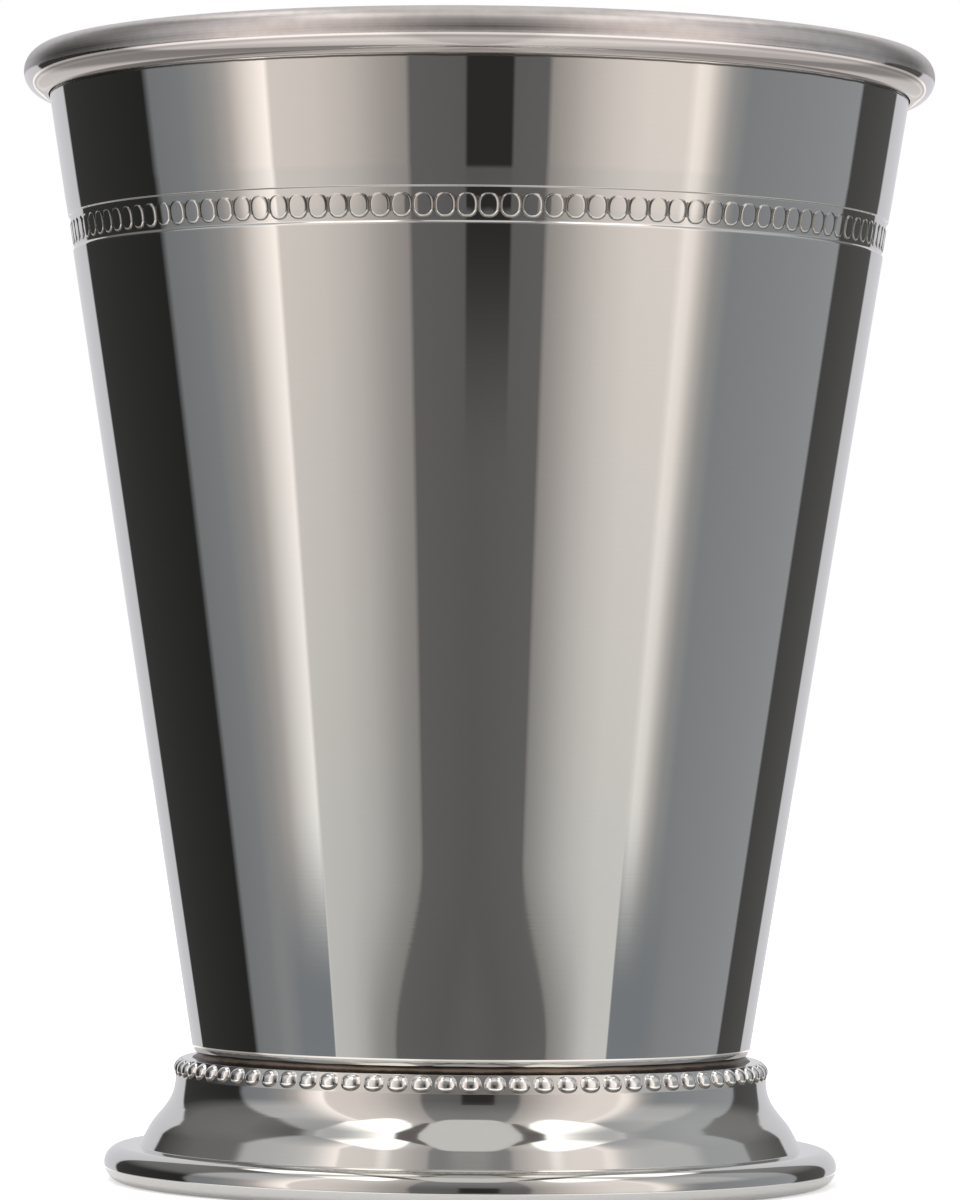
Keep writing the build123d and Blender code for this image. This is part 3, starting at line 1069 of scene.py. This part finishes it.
# Studio. Angles are in degrees: azimuth 0 is towards the camera and grows to its right. Level lines round
# the cup's tapered wall show lower parts of the studio towards the wall's front, so heights in the studio
# are given as levels, by such lines: level 0.1 shows below the cup's rim, and -0.05 above its foot.

LEVEL_DIP = 0.311
PLAIN = (1.0, 1.0, 1.0)
WARM = (1.085, 1.0, 0.95)
COOL = (0.96, 1.0, 1.05)
PALE = (0.99, 0.99, 1.035)
BACKDROP = 0.74
# Walls as (azimuth, light, tint): flags, side walls, strip lights, panels and the dark room
WALLS = [
    (-147.6, BACKDROP, PALE), (-147, 0.05, PLAIN), (-100.1, 0.028, PLAIN), (-99.6, 0.27, COOL),
    (-86, 0.31, COOL), (-77, 0.405, PLAIN), (-71, 0.57, WARM), (-65, 1.04, WARM), (-59.0, 1.45, WARM),
    (-58.5, 0.93, WARM), (-45, 0.86, WARM), (-35, 0.72, WARM), (-25, 0.48, WARM), (-19.6, 0.40, WARM),
    (-19.1, 0.175, PLAIN), (0, 0.15, PLAIN), (18.4, 0.175, PLAIN), (18.9, 0.39, WARM), (25, 0.55, WARM),
    (30, 0.70, WARM), (37, 0.87, WARM), (46, 1.0, WARM), (58.9, 1.03, WARM), (59.4, 1.28, WARM),
    (63, 1.18, WARM), (67, 0.70, WARM), (71, 0.44, PLAIN), (77, 0.33, COOL), (122.9, 0.41, COOL),
    (123.4, 0.085, PLAIN), (148.4, 0.11, PLAIN), (149, BACKDROP, PALE),
]
# The dark room widens below a level, at the cost of the panels beside it
WIDENING = 12.5
WIDENING_LEVEL = (-0.022, -0.052)
WIDENING_SPREAD = (56.0, 38.0)
# Panels dim and cool downwards
PANEL_DUSK = (0.76, 0.83, 0.855)
DUSK_LEVEL = 0.1
DUSK_DROP = 0.145
PANEL_SPREAD = ((18.6, 19.6), (80.0, 62.0))
# Strip lights end above the table
SIDE_WALL = (0.27, 0.29, 0.315)
STRIP_SPREAD = ((57.9, 58.7), (86.0, 72.0))
STRIP_END = (-0.012, -0.044)
# Dark stripe in front, by azimuth, and its soft ends by elevation
DEEP = (0.037, 0.036, 0.035)
STRIPE_SIDES = (-3.4, 9.2)
STRIPE_SOFTNESS = 0.6
STRIPE_TOP = (17.5, 16.5)
STRIPE_FOOT = (-15.9, -13.2)
# Light on the high walls, and more on the side walls, as (elevation, light), and its share behind the cup
RISE = [(-90, 0.0), (8, 0.0), (22, 0.05), (38, 0.13), (48, 0.15), (90, 0.2)]
SIDE_RISE = [(-90, 0.0), (12, 0.0), (24, 0.35), (42, 0.4), (56, 0.12), (90, 0.0)]
SIDE_SPREAD = (50.0, 74.0)
FRONT_SPREAD = (104.0, 96.0)
BEHIND = 0.4
# Ceiling. Aside is how far a direction points to either side, from 0 to 1.
CEILING = (0.55, 0.55, 0.54)
CEILING_EDGE = (58.0, 70.0)
MIDDLE_PANEL = (0.80, 0.79, 0.77)
MIDDLE_PANEL_ASIDE = 0.195
MIDDLE_PANEL_EDGE = 53.0
MIDDLE_PANEL_CORNER = 18.0
MIDDLE_PANEL_POWER = 6.0
MIDDLE_PANEL_SOFTNESS = 1.2
GAP = (0.17, 0.155, 0.15)
GAP_SIDES = (0.185, 0.29)
GAP_POINT = (0.19, 62.0)
GAP_SLOPE = 8 / 0.087
GAP_SIDE_SOFTNESS = 0.006
GAP_SOFTNESS = 1.0
SOFT_BOX = (1.9, 1.87, 1.8)
SOFT_BOX_START = (0.2, 0.215)
SOFT_BOX_MIDDLE = 0.42
SOFT_BOX_REACH = 0.13
SOFT_BOX_EDGE = 50.0
SOFT_BOX_CURVE = 10.0
SOFT_BOX_TOP = 91.5
SOFT_BOX_SLANT = -65.0
SOFT_BOX_SOFTNESS = 1.6
# The table lies below a level. Its light is by the depth below that level, and by azimuth.
TABLE_LEVEL = -0.058
TABLE_SOFTNESS = 0.002
LEAST_HALF_TURN = 0.12
TABLE_TINT = (1.03, 1.0, 0.97)
TABLE_LIGHT = [
    (0.0, 1.0), (0.02, 1.45), (0.15, 1.45), (0.19, 0.85), (0.27, 0.68), (0.36, 0.85), (0.44, 1.02),
    (0.52, 0.95), (0.62, 0.82),
]
TABLE_BANDS = [
    (-180, 0.85), (-154, 0.85), (-142, 0.4), (-104, 0.35), (-97, 0.8), (-62, 1.05), (-26, 1.0), (-17, 0.74),
    (14, 0.74), (22, 1.0), (64, 1.05), (84, 0.8), (118, 0.75), (126, 0.4), (146, 0.4), (156, 0.85),
    (180, 0.85),
]
# Soft light of the room on what isn't polished
ROOM = (0.8, 0.8, 0.8)


def tinted(light, tint):
    """A tint at a level of light."""
    return tuple(light * channel for channel in tint)


def by_angle(tree, angle, limit, rows):
    """Colour by an angle from -limit to limit, from rows of (angle, light, tint) or of (angle, light)."""
    place = calc(tree, "MULTIPLY_ADD", angle, 1 / (2 * limit), 0.5)
    stops = []
    for stop, light, *tint in rows:
        stops.append(((stop + limit) / (2 * limit), tinted(light, tint[0] if tint else PLAIN)))
    return ramp(tree, place, stops)


def wall_colour(tree, azimuth, level):
    """Colour of the studio's walls up to the height of the strip lights."""
    widening = product(tree, fade(tree, level, *WIDENING_LEVEL), WIDENING)
    widening = product(tree, widening, fade(tree, calc(tree, "ABSOLUTE", azimuth), *WIDENING_SPREAD))
    widened = calc(tree, "SUBTRACT", azimuth, product(tree, widening, calc(tree, "SIGN", azimuth)))
    shade = by_angle(tree, widened, 180, WALLS)

    spread = calc(tree, "ABSOLUTE", widened)
    panel_start, panel_end = PANEL_SPREAD
    dusk = calc(tree, "MULTIPLY_ADD", level, -1 / DUSK_DROP, DUSK_LEVEL / DUSK_DROP, clamp=True)
    dusk = product(tree, fade(tree, spread, *panel_start), fade(tree, spread, *panel_end), dusk)
    shade = blend(tree, dusk, shade, opaque(PANEL_DUSK), "MULTIPLY")
    strip_start, strip_end = STRIP_SPREAD
    strips = product(tree, fade(tree, spread, *strip_start), fade(tree, spread, *strip_end))
    ended = product(tree, strips, fade(tree, level, *STRIP_END))
    return blend(tree, ended, shade, opaque(SIDE_WALL))


def high_wall_colour(tree, shade, azimuth, elevation):
    """The walls with the dark stripe in front, and with the light on their higher parts."""
    stripe = product(tree, within(tree, azimuth, *STRIPE_SIDES, STRIPE_SOFTNESS),
                     fade(tree, elevation, *STRIPE_TOP), fade(tree, elevation, *STRIPE_FOOT))
    shade = blend(tree, stripe, shade, opaque(DEEP))
    spread = calc(tree, "ABSOLUTE", azimuth)
    front = calc(tree, "MULTIPLY_ADD", fade(tree, spread, *FRONT_SPREAD), 1 - BEHIND, BEHIND)
    shade = blend(tree, front, shade, by_angle(tree, elevation, 90, RISE), "SCREEN")
    sides = product(tree, front, fade(tree, spread, *SIDE_SPREAD))
    return blend(tree, sides, shade, by_angle(tree, elevation, 90, SIDE_RISE), "SCREEN")


def ceiling_colour(tree, shade, aside, elevation):
    """The walls with the ceiling over them: two soft boxes, dark gaps and a panel in the middle."""
    shade = blend(tree, fade(tree, elevation, *CEILING_EDGE), shade, opaque(CEILING))
    corners = calc(tree, "POWER", calc(tree, "DIVIDE", aside, MIDDLE_PANEL_ASIDE), MIDDLE_PANEL_POWER)
    panel_edge = calc(tree, "MULTIPLY_ADD", corners, MIDDLE_PANEL_CORNER, MIDDLE_PANEL_EDGE)
    panel = past(tree, elevation, panel_edge, MIDDLE_PANEL_SOFTNESS)
    point_aside, point_elevation = GAP_POINT
    gap_edge = calc(tree, "MULTIPLY_ADD", aside, GAP_SLOPE, point_elevation - point_aside * GAP_SLOPE)
    gap = product(tree, within(tree, aside, *GAP_SIDES, GAP_SIDE_SOFTNESS),
                  past(tree, elevation, gap_edge, GAP_SOFTNESS))
    off = calc(tree, "DIVIDE", calc(tree, "SUBTRACT", aside, SOFT_BOX_MIDDLE), SOFT_BOX_REACH)
    box_edge = calc(tree, "MULTIPLY_ADD", product(tree, off, off), SOFT_BOX_CURVE, SOFT_BOX_EDGE)
    box_top = calc(tree, "MULTIPLY_ADD", aside, SOFT_BOX_SLANT, SOFT_BOX_TOP)
    boxes = product(tree, past(tree, elevation, box_edge, SOFT_BOX_SOFTNESS),
                    past(tree, box_top, elevation, SOFT_BOX_SOFTNESS), fade(tree, aside, *SOFT_BOX_START))
    for mask, tint in ((boxes, SOFT_BOX), (gap, GAP), (panel, MIDDLE_PANEL)):
        shade = blend(tree, mask, shade, opaque(tint))
    return shade


def table_colour(tree, azimuth, level, half_turn):
    """Colour of the table."""
    below = calc(tree, "SUBTRACT", TABLE_LEVEL, level)
    depth = calc(tree, "DIVIDE", below, calc(tree, "MAXIMUM", half_turn, LEAST_HALF_TURN))
    light = ramp(tree, depth, [(place, tinted(light, TABLE_TINT)) for place, light in TABLE_LIGHT])
    return blend(tree, 1.0, light, by_angle(tree, azimuth, 180, TABLE_BANDS), "MULTIPLY")


def studio_colour(tree):
    """Colour of the studio in every direction, as polished metal shows it."""
    x, y, z = split_axes(tree, tree.nodes.new("ShaderNodeTexCoord").outputs["Generated"])
    azimuth = product(tree, calc(tree, "ARCTAN2", x, product(tree, y, -1.0)), degrees(1))
    elevation = product(tree, calc(tree, "ARCSINE", z), degrees(1))
    half_turn = calc(tree, "COSINE", product(tree, azimuth, radians(0.5)))
    level = calc(tree, "MULTIPLY_ADD", half_turn, LEVEL_DIP, z)
    shade = wall_colour(tree, azimuth, level)
    shade = high_wall_colour(tree, shade, azimuth, elevation)
    shade = ceiling_colour(tree, shade, calc(tree, "ABSOLUTE", x), elevation)
    table = table_colour(tree, azimuth, level, half_turn)
    raised = fade(tree, level, TABLE_LEVEL - TABLE_SOFTNESS, TABLE_LEVEL + TABLE_SOFTNESS)
    return blend(tree, raised, table, shade)


def make_world(scene):
    """World that is white to the camera, the studio to polished metal, and plain soft light to the rest."""
    world = bpy.data.worlds.new("studio")
    scene.world = world
    world.use_nodes = True
    tree = world.node_tree
    path = tree.nodes.new("ShaderNodeLightPath").outputs
    mirrored = calc(tree, "ADD", path["Is Glossy Ray"], path["Is Transmission Ray"], clamp=True)
    seen = blend(tree, mirrored, opaque(ROOM), studio_colour(tree))
    seen = blend(tree, path["Is Camera Ray"], seen, opaque(PLAIN))
    tree.links.new(seen, tree.nodes["Background"].inputs["Color"])


# Stage

FLOOR_GAP = 0.02 * MM
FLOOR_COLUMNS = 96
# Only the floor under the cup is mirrored in the metal, which shows the studio's table beyond it
NEAR_FLOOR = 0.0385
FAR_FLOOR = 4.0
FLOOR_GLOW = 0.45
FLOOR_MIRRORED_GLOW = 0.15
FLOOR_MOTTLE = 0.985
LAMP_SIZE = 0.7
LAMP_POWER = 3.0
LAMP_PLACE = (-0.15, -0.2, 0.9)
LAMP_AIM = (0, 0, 0.05)
NEAREST_SEEN = 0.01


def floor_material(tint):
    """Pale floor that is white to the camera except where the cup shades it, and see-through from below."""
    material, tree, shader = new_material("pale_floor")
    place = tree.nodes.new("ShaderNodeTexCoord").outputs["Object"]
    mottle = [(0.3, tinted(FLOOR_MOTTLE, tint)), (0.7, tuple(tint))]
    pale = ramp(tree, noise(tree, place, scale=30.0, detail=3.0), mottle)
    feed(tree, shader, {"Base Color": pale, "Roughness": 0.9, "Specular IOR Level": 0.1})
    path = tree.nodes.new("ShaderNodeLightPath").outputs
    mirrored = product(tree, path["Is Glossy Ray"], FLOOR_MIRRORED_GLOW)
    seen = calc(tree, "MULTIPLY_ADD", path["Is Camera Ray"], FLOOR_GLOW, mirrored)
    shader.inputs["Emission Color"].default_value = opaque(PLAIN)
    tree.links.new(seen, shader.inputs["Emission Strength"])
    from_below = tree.nodes.new("ShaderNodeNewGeometry").outputs["Backfacing"]
    clear = tree.nodes.new("ShaderNodeBsdfTransparent")
    see_through = tree.nodes.new("ShaderNodeMixShader")
    plug(tree, see_through.inputs, (from_below, shader.outputs[0], clear.outputs[0]))
    tree.links.new(see_through.outputs[0], tree.nodes["Material Output"].inputs["Surface"])
    return material


def make_floor(tint):
    """Floor in two discs, of which the near one is mirrored in the metal."""
    pale = floor_material(tint)
    for name, inner, outer in (("floor_near", 0.0, NEAR_FLOOR), ("floor_far", NEAR_FLOOR, FAR_FLOOR)):
        disc = TurnedMesh(FLOOR_COLUMNS)
        disc.sweep(line(Vector((outer, -FLOOR_GAP)), Vector((inner, -FLOOR_GAP))))
        floor = disc.build(name, [pale])
        floor.visible_glossy = name == "floor_near"


def make_lamp(scene):
    """Soft box overhead, which shades the floor round the cup and isn't mirrored in it."""
    lamp = bpy.data.lights.new("overhead_soft_box", "AREA")
    lamp.shape = "DISK"
    lamp.size = LAMP_SIZE
    lamp.energy = LAMP_POWER
    overhead = bpy.data.objects.new("overhead_soft_box", lamp)
    overhead.location = LAMP_PLACE
    overhead.rotation_euler = (Vector(LAMP_AIM) - overhead.location).to_track_quat("-Z", "Y").to_euler()
    overhead.visible_glossy = False
    scene.collection.objects.link(overhead)


def make_camera(scene, place):
    """Camera at the place that the settings give."""
    lens = bpy.data.cameras.new("camera")
    lens.lens = place.lens
    lens.clip_start = NEAREST_SEEN
    camera = bpy.data.objects.new("camera", lens)
    camera.location = (place.aside, -place.distance, place.height)
    camera.rotation_euler = (UPWARD + place.pitch, 0, 0)
    camera.rotation_euler.rotate_axis("Z", place.roll)
    scene.collection.objects.link(camera)
    scene.camera = camera


class JULEP_OT_stage(bpy.types.Operator):
    """Set the stage: pale floor, soft studio light and the camera"""

    bl_idname = "julep.stage"
    bl_label = "Stage"

    def execute(self, context):
        scene = context.scene
        settings = scene.julep_cup
        scene.view_settings.view_transform = "Standard"
        make_world(scene)
        make_floor(settings.finishes.floor)
        make_lamp(scene)
        make_camera(scene, settings.camera)
        return {"FINISHED"}


class JULEP_PT_panel(bpy.types.Panel):
    """Lists the pieces of the cup and their sizes"""

    bl_idname = "JULEP_PT_panel"
    bl_label = "Julep cup"
    bl_space_type = "VIEW_3D"
    bl_region_type = "UI"
    bl_category = "Julep cup"

    def draw(self, context):
        settings = context.scene.julep_cup
        for operator in OPERATORS:
            self.layout.operator(operator.bl_idname)
        for group in (settings.cup, settings.foot, settings.braze, settings.finishes, settings.camera):
            box = self.layout.box()
            for name in type(group).__annotations__:
                box.prop(group, name)


OPERATORS = (JULEP_OT_cup, JULEP_OT_foot, JULEP_OT_braze, JULEP_OT_stage)
GROUPS = (CupSizes, FootSizes, BrazeSizes, Finishes, CameraPlace, JulepCupSettings)
CLASSES = GROUPS + OPERATORS + (JULEP_PT_panel,)


def register():
    for cls in CLASSES:
        bpy.utils.register_class(cls)
    bpy.types.Scene.julep_cup = PointerProperty(type=JulepCupSettings, name="Julep cup",
                                                description="Sizes and colours of the cup")


def unregister():
    del bpy.types.Scene.julep_cup
    for cls in reversed(CLASSES):
        bpy.utils.unregister_class(cls)


def main():
    """Builds every piece and the stage."""
    register()
    bpy.ops.julep.cup()
    bpy.ops.julep.foot()
    bpy.ops.julep.braze()
    bpy.ops.julep.stage()


if __name__ == "__main__":
    main()
